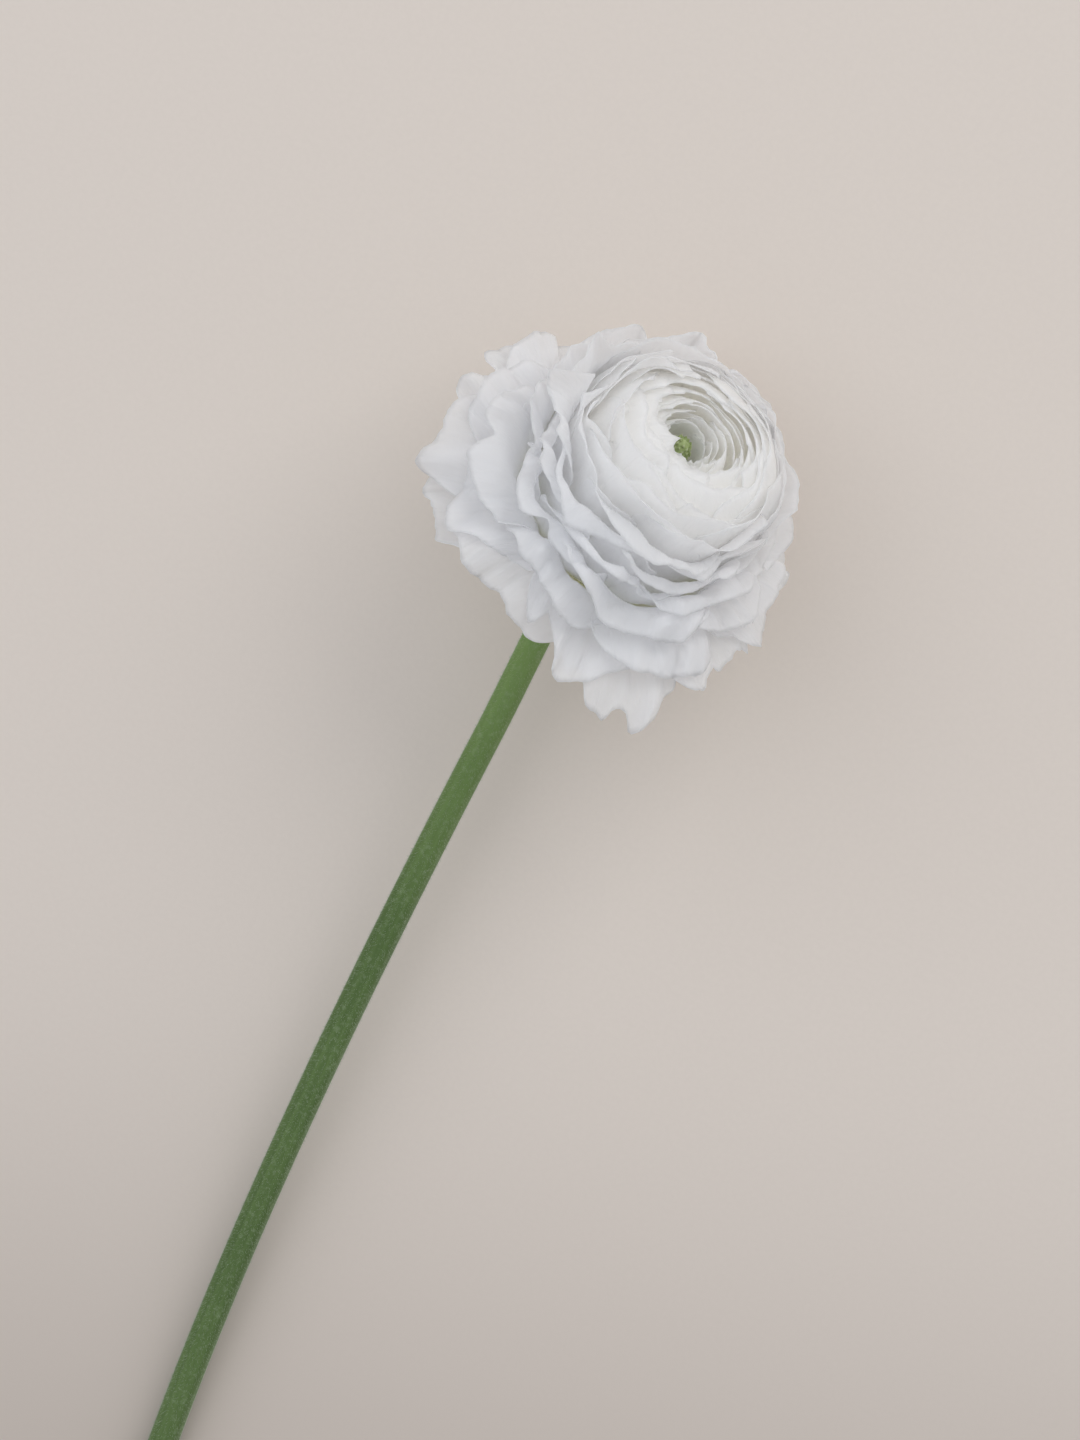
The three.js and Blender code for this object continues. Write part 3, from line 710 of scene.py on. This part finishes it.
def carpel_shells(settings):
    """Carpels as beaked drops on a column, at golden-angle turns: each is an outline turned round
    its own axis, which bends up at the beak."""
    shells = [lathe(CARPEL_PROFILE, 24)]
    tips = [np.zeros(len(shells[0][0]))]
    rho, h = np.asarray(CARPEL_PROFILE, float).T
    turn = np.linspace(0, TAU, 7, endpoint=False)
    for i in range(settings.count):
        f = (i + 0.5) / settings.count
        height = 20 + 14.3 * f
        radius = np.interp(height, h, rho) * 0.93
        phi = i * GOLDEN
        out = np.array([math.cos(phi), math.sin(phi), 0.25 + 1.1 * f])
        out /= np.linalg.norm(out)
        side = np.array([-math.sin(phi), math.cos(phi), 0])
        up = np.cross(out, side)
        size = settings.size * (0.8 + 0.3 * draw(i, 51))
        rings = []
        for r, z in CARPEL_OUTLINE:
            bend = -0.5 * max(0, z - 0.9) * out * 0.3 + up * 0.45 * max(0, z - 0.6) ** 2
            centre = np.array([radius * math.cos(phi), radius * math.sin(phi), height])
            centre = centre + (out * z * 0.75 + bend) * size
            ring = np.outer(np.cos(turn), side) + np.outer(np.sin(turn), up) * 0.7
            rings.append(centre + ring * r * size)
        first = np.arange(len(turn))
        ends = [first[None, ::-1], first[None] + len(turn) * (len(rings) - 1)]
        shells.append((np.concatenate(rings), [tube_faces(len(rings), len(turn)), *ends]))
        tips.append(np.repeat([z / 1.9 for _, z in CARPEL_OUTLINE], len(turn)))
    return shells, np.concatenate(tips)


def sepal_surface(k, across, along):
    """A sepal: a cubic from the disc outwards and back along the stem, as wide as a sine."""
    u, v = np.meshgrid(np.linspace(-1, 1, across), np.linspace(0, 1, along), indexing="ij")
    rho, h = np.moveaxis(bezier(SEPAL_PATH, v), -1, 0)
    half = SEPAL_HALF_WIDTH * (0.45 + 0.75 * np.sin(math.pi * np.minimum(1, 0.15 + 0.8 * v)))
    half = half * (1 - 0.5 * smooth(v, 0.8, 1))
    phi = k / SEPALS * TAU + u * half / np.maximum(rho, 4)
    rho = rho + 0.25 * np.sin(3 * u + k)
    points = np.stack([rho * np.cos(phi), rho * np.sin(phi), h - 0.5 * u * u], -1)
    return points, np.stack([u, v, np.zeros_like(u)], -1)


def calyx_material(settings):
    """Matt green sepals with lengthwise veins and a paler edge."""
    m = Recipe("calyx_skin")
    across, along, _ = m.parts(m.attribute("petal"))
    veins = m.noise(m.vector(m.math("MULTIPLY", across, 9), m.math("MULTIPLY", along, 1.2), 0.0), 2.0, 4, 0.6)
    grain = m.noise(m.place(), 700, 3, 0.6)
    green = m.mix(m.ramp(veins, 0.35, 0.7), tuple(settings.colour), tuple(settings.vein_colour))
    edged = m.mix(m.ramp(m.math("ABSOLUTE", across), 0.6, 1.0, 0.0, 0.7), green, (0.55, 0.58, 0.36))
    height = m.math("ADD", m.math("MULTIPLY", veins, 0.7), m.math("MULTIPLY", grain, 0.3))
    skin = m.principled(Base_Color=edged, Roughness=0.65, Specular_IOR_Level=0.3, Sheen_Weight=0.3,
                        Normal=m.bump(height, 0.2, 0.5))
    return m.close(skin)


def camera_axes():
    """Right, up and towards the viewer: the bloom's axis points at AXIS_IN_PICTURE in the frame."""
    towards = np.array([
        math.cos(CAMERA_UP) * math.sin(FACING_ASIDE),
        math.cos(CAMERA_UP) * math.cos(FACING_ASIDE),
        math.sin(CAMERA_UP),
    ])
    facing = bloom_axes()[:, 2]
    shown = facing - towards * (facing @ towards)
    shown /= np.linalg.norm(shown)
    aside = np.cross(towards, shown)
    c, s = math.cos(AXIS_IN_PICTURE), math.sin(AXIS_IN_PICTURE)
    return c * shown - s * aside, s * shown + c * aside, towards


def camera_place():
    """Where the bulb's centre falls on its pixel at the scale of PIXELS_PER_MM."""
    right, up, towards = camera_axes()
    bulb = BASE + BULB_CENTRE * bloom_axes()[:, 2]
    x = (BULB_IN_PICTURE[0] - PICTURE[0] / 2) / PIXELS_PER_MM
    y = (PICTURE[1] / 2 - BULB_IN_PICTURE[1]) / PIXELS_PER_MM
    distance = LENS / SENSOR * PICTURE[1] / PIXELS_PER_MM
    return bulb - x * right - y * up + distance * towards


def add_camera(context):
    """The scene's camera, which frames the bloom as the picture does."""
    right, up, towards = camera_axes()
    camera = bpy.data.cameras.new("camera")
    camera.sensor_width = SENSOR
    camera.lens = LENS
    camera.clip_start = 0.01
    camera.clip_end = 20
    piece = bpy.data.objects.new("camera", camera)
    turn = Matrix([list(row) for row in np.stack([right, up, towards], 1)]).to_4x4()
    piece.matrix_world = Matrix.Translation(Vector(camera_place() * MM)) @ turn
    context.scene.collection.objects.link(piece)
    context.scene.camera = piece


def add_area_light(context, name, target, place, size, power, colour):
    """A square lamp at a place given in metres along the camera's right, up and towards axes."""
    light = bpy.data.lights.new(name, "AREA")
    light.size = size
    light.energy = power
    light.color = colour
    piece = bpy.data.objects.new(name, light)
    offset = np.stack(camera_axes(), 1) @ place
    piece.location = Vector(target + offset)
    piece.rotation_euler = Vector(-offset).to_track_quat("-Z", "Y").to_euler()
    context.scene.collection.objects.link(piece)


def floor_shell(half):
    """A square slab whose top is the surface that the flower lies on."""
    corners = np.array([[-half, -half], [half, -half], [half, half], [-half, half]])
    points = np.concatenate([np.c_[corners, np.zeros(4)], np.c_[corners, np.full(4, -FLOOR_DEPTH)]])
    ring = np.arange(4)
    sides = np.stack([ring + 4, np.roll(ring, -1) + 4, np.roll(ring, -1), ring], -1)
    return points, [np.array([[0, 1, 2, 3], [7, 6, 5, 4]]), sides]


def floor_material(settings):
    """Pale matt paint with a fine grain, and painted shade that makes it a little darker towards the stem's
    end.
    """
    m = Recipe("floor_matt")
    grain = m.noise(m.place(), 900, 2, 0.5)
    x, y, _ = m.parts(m.place())
    run = m.math("SUBTRACT", y, m.math("MULTIPLY", x, 0.35))
    deep = tuple(settings.floor_shade_and_grain_colour)
    # Painted shade: the floor colour darkens towards the stem's end as a painted fall-off of light; the same
    # darker colour also tints the fine grain.
    paint = m.mix(m.ramp(run, -0.16, 0.03, 1.0, 0.0), tuple(settings.floor_colour), deep)
    tinted = m.mix(m.ramp(grain, 0.3, 0.7, 0.0, 0.05), paint, deep)
    return m.close(m.principled(Base_Color=tinted, Roughness=0.9, Specular_IOR_Level=0.1))


def hair_material():
    """Pale down."""
    m = Recipe("stem_down")
    return m.close(m.principled(Base_Color=(0.5, 0.58, 0.42), Roughness=0.6, Specular_IOR_Level=0.2))


class PetalSettings(bpy.types.PropertyGroup):
    count: IntProperty(name="Petals", description="How many petals the bloom has", default=108, min=20)
    thickness: FloatProperty(name="Thickness", description="Blade thickness in millimetres", default=0.26)
    light_through: FloatProperty(name="Light through", default=0.68, subtype="FACTOR",
                                 description="Share of the light that passes through a petal")
    light_through_heart: FloatProperty(name="Through heart", default=0.6, subtype="FACTOR",
                                       description="The same share for the small petals of the heart")
    held_light: FloatProperty(name="Held light", default=0.034,
                              description="Soft glow of the packed petals, strongest at the heart")
    vein_depth: FloatProperty(name="Vein depth", description="Strength of the veins' relief", default=0.75)
    colour: FloatVectorProperty(name="White", description="Petal colour above its root",
                                default=(0.962, 0.963, 0.969), subtype="COLOR")
    heart_colour: FloatVectorProperty(name="Heart white", description="Petal colour near the heart",
                                      default=(0.993, 0.99, 0.98), subtype="COLOR")
    vein_colour: FloatVectorProperty(name="Vein", description="Colour of veins and faint clouds",
                                     default=(0.92, 0.924, 0.936), subtype="COLOR")
    root_colour: FloatVectorProperty(name="Root", description="Colour at the petal's root",
                                     default=(0.98, 0.98, 0.9), subtype="COLOR")


class CarpelSettings(bpy.types.PropertyGroup):
    count: IntProperty(name="Carpels", description="How many carpels the heart shows", default=210)
    size: FloatProperty(name="Size", description="Half width of a carpel in millimetres", default=0.62)
    colour: FloatVectorProperty(name="Green", description="Carpel colour", default=(0.27, 0.34, 0.13),
                                subtype="COLOR")
    speck_colour: FloatVectorProperty(name="Speck", description="Lighter green of the specks",
                                      default=(0.4, 0.48, 0.22), subtype="COLOR")
    tip_colour: FloatVectorProperty(name="Tip", description="Colour of the beaks",
                                    default=(0.7, 0.73, 0.5), subtype="COLOR")


class CalyxSettings(bpy.types.PropertyGroup):
    colour: FloatVectorProperty(name="Green", description="Sepal colour", default=(0.3, 0.38, 0.15),
                                subtype="COLOR")
    vein_colour: FloatVectorProperty(name="Vein", description="Colour between the sepal's veins",
                                     default=(0.4, 0.46, 0.22), subtype="COLOR")


class StemSettings(bpy.types.PropertyGroup):
    radius_top: FloatProperty(name="Top radius", default=2.75,
                              description="Radius under the bloom in millimetres")
    radius_end: FloatProperty(name="End radius", description="Radius at the cut in millimetres", default=3.2)
    length: FloatProperty(name="Length", description="Length along the stem in millimetres",
                          default=float(stem_line(1200)[4][-1]))
    hairs: IntProperty(name="Hairs", description="How many fine hairs stand on the skin", default=16000)
    hair_length: FloatProperty(name="Hair length", description="Middle length in millimetres", default=0.42)
    colour: FloatVectorProperty(name="Green", description="Skin colour", default=(0.085, 0.145, 0.04),
                                subtype="COLOR")
    streak_colour: FloatVectorProperty(name="Streak", description="Lighter lengthwise streaks",
                                       default=(0.125, 0.2, 0.062), subtype="COLOR")
    shade_colour: FloatVectorProperty(name="Shade", description="Darker clouds",
                                      default=(0.06, 0.11, 0.03), subtype="COLOR")
    neck_colour: FloatVectorProperty(name="Neck", description="Fresh green under the bloom",
                                     default=(0.24, 0.37, 0.11), subtype="COLOR")


class StageSettings(bpy.types.PropertyGroup):
    floor_colour: FloatVectorProperty(name="Floor", description="Colour of the pale floor",
                                      default=(0.79, 0.708, 0.63), subtype="COLOR")
    # The colour of the floor's painted shade towards the stem's end, also used to tint its grain.
    floor_shade_and_grain_colour: FloatVectorProperty(name="Floor deep", default=(0.585, 0.512, 0.45),
                                           description="Its colour towards the stem's end",
                                           subtype="COLOR")
    sky: FloatProperty(name="Fill", description="Strength of the even light from all round", default=0.6)
    key: FloatProperty(name="Key", description="Power of the large soft light", default=26, unit="POWER")
    side: FloatProperty(name="Side", description="Power of the cool side light", default=8.2, unit="POWER")


class FLOWER_OT_petals(bpy.types.Operator):
    """Add the bloom's petals, in pieces from the heart to the skirt"""

    bl_idname = "flower.petals"
    bl_label = "Petals"

    def execute(self, context):
        settings = context.scene.petal_settings
        material = petal_material(settings)
        for piece in PETAL_PIECES:
            finish_piece(petals_piece(*piece, settings), material, "petals")
        return {"FINISHED"}


class FLOWER_OT_carpels(bpy.types.Operator):
    """Add the green carpels in the heart"""

    bl_idname = "flower.carpels"
    bl_label = "Carpels"

    def execute(self, context):
        settings = context.scene.carpel_settings
        shells, tips = carpel_shells(settings)
        shells = [(placed(points), faces) for points, faces in shells]
        piece = write_mesh("carpels_fine", shells, [("tip", tips)])
        finish_piece(piece, carpel_material(settings), "carpels")
        return {"FINISHED"}


class FLOWER_OT_calyx(bpy.types.Operator):
    """Add the calyx with its disc and five sepals"""

    bl_idname = "flower.calyx"
    bl_label = "Calyx"

    def execute(self, context):
        settings = context.scene.calyx_settings
        shells = [lathe(CALYX_DISC, 40)]
        where = [np.zeros((len(shells[0][0]), 3))]
        for k in range(SEPALS):
            points, petal = sepal_surface(k, 15, 24)
            shells.append(closed_blade(points, np.full(points.shape[:2], SEPAL_BLADE)))
            where += [petal.reshape(-1, 3)] * 2
        shells = [(placed(points), faces) for points, faces in shells]
        piece = write_mesh("calyx_fine", shells, [("petal", np.concatenate(where))])
        finish_piece(piece, calyx_material(settings), "calyx")
        return {"FINISHED"}


class FLOWER_OT_receptacle(bpy.types.Operator):
    """Add the cone under the petals that their roots grow from"""

    bl_idname = "flower.receptacle"
    bl_label = "Receptacle"

    def execute(self, context):
        points, faces = lathe(RECEPTACLE, 40)
        piece = write_mesh("receptacle", [(placed(points), faces)], [("petal", np.zeros((len(points), 3)))])
        finish_piece(piece, petal_material(context.scene.petal_settings), "petals")
        return {"FINISHED"}


class FLOWER_OT_stem(bpy.types.Operator):
    """Add the stem and the fine hairs on it"""

    bl_idname = "flower.stem"
    bl_label = "Stem"

    def execute(self, context):
        settings = context.scene.stem_settings
        material = stem_material(settings)
        points, faces, where = stem_shell(settings, 260, 48)
        piece = write_mesh("stem_skin", [(points, faces)], [("stem", where)])
        finish_piece(piece, material, "stem")
        hairs = write_mesh("stem_hairs", [stem_hairs(settings)])
        finish_piece(hairs, hair_material(), None)
        return {"FINISHED"}


class FLOWER_OT_stage(bpy.types.Operator):
    """Add the floor, the soft lights and the camera"""

    bl_idname = "flower.stage"
    bl_label = "Stage"

    def execute(self, context):
        settings = context.scene.stage_settings
        floor = write_mesh("floor", [floor_shell(FLOOR_HALF)])
        floor.data.materials.append(floor_material(settings))
        bulb = (BASE + BULB_CENTRE * bloom_axes()[:, 2]) * MM
        for name, place, size, power, colour in [
            ("key", KEY_PLACE, KEY_SIZE, settings.key, (1.0, 0.99, 0.975)),
            ("side", SIDE_PLACE, SIDE_SIZE, settings.side, (0.88, 0.93, 1.0)),
        ]:
            add_area_light(context, name, bulb, np.array(place), size, power, colour)
        world = bpy.data.worlds.new("room")
        world.use_nodes = True
        background = world.node_tree.nodes["Background"]
        background.inputs["Color"].default_value = (0.92, 0.945, 1.0, 1)
        background.inputs["Strength"].default_value = settings.sky
        context.scene.world = world
        context.scene.view_settings.view_transform = "Standard"
        context.scene.cycles.max_bounces = BOUNCES
        context.scene.cycles.diffuse_bounces = BOUNCES
        context.scene.cycles.transmission_bounces = BOUNCES
        add_camera(context)
        return {"FINISHED"}


class FLOWER_PT_panel(bpy.types.Panel):
    """The flower's pieces and their settings"""

    bl_idname = "FLOWER_PT_panel"
    bl_label = "Ranunculus"
    bl_space_type = "VIEW_3D"
    bl_region_type = "UI"
    bl_category = "Bloom"

    def draw(self, context):
        for operator, settings in PANEL_ROWS:
            self.layout.operator(operator.bl_idname)
            if settings is None:
                continue
            group = getattr(context.scene, settings)
            for label in group.bl_rna.properties.keys():
                if label not in ("rna_type", "name"):
                    self.layout.prop(group, label)


PANEL_ROWS = [
    (FLOWER_OT_petals, "petal_settings"),
    (FLOWER_OT_receptacle, None),
    (FLOWER_OT_carpels, "carpel_settings"),
    (FLOWER_OT_calyx, "calyx_settings"),
    (FLOWER_OT_stem, "stem_settings"),
    (FLOWER_OT_stage, "stage_settings"),
]
SETTINGS = {
    "petal_settings": PetalSettings,
    "carpel_settings": CarpelSettings,
    "calyx_settings": CalyxSettings,
    "stem_settings": StemSettings,
    "stage_settings": StageSettings,
}
CLASSES = [*SETTINGS.values(), *(operator for operator, _ in PANEL_ROWS), FLOWER_PT_panel]


def register():
    for each in CLASSES:
        bpy.utils.register_class(each)
    for name, group in SETTINGS.items():
        setattr(bpy.types.Scene, name, PointerProperty(type=group))


def unregister():
    for name in SETTINGS:
        delattr(bpy.types.Scene, name)
    for each in reversed(CLASSES):
        bpy.utils.unregister_class(each)


def main():
    """Builds every piece and the stage."""
    register()
    for leftover in ("Cube", "Light", "Camera"):
        if leftover in bpy.data.objects:
            bpy.data.objects.remove(bpy.data.objects[leftover])
    bpy.ops.flower.petals()
    bpy.ops.flower.receptacle()
    bpy.ops.flower.carpels()
    bpy.ops.flower.calyx()
    bpy.ops.flower.stem()
    bpy.ops.flower.stage()


if __name__ == "__main__":
    main()
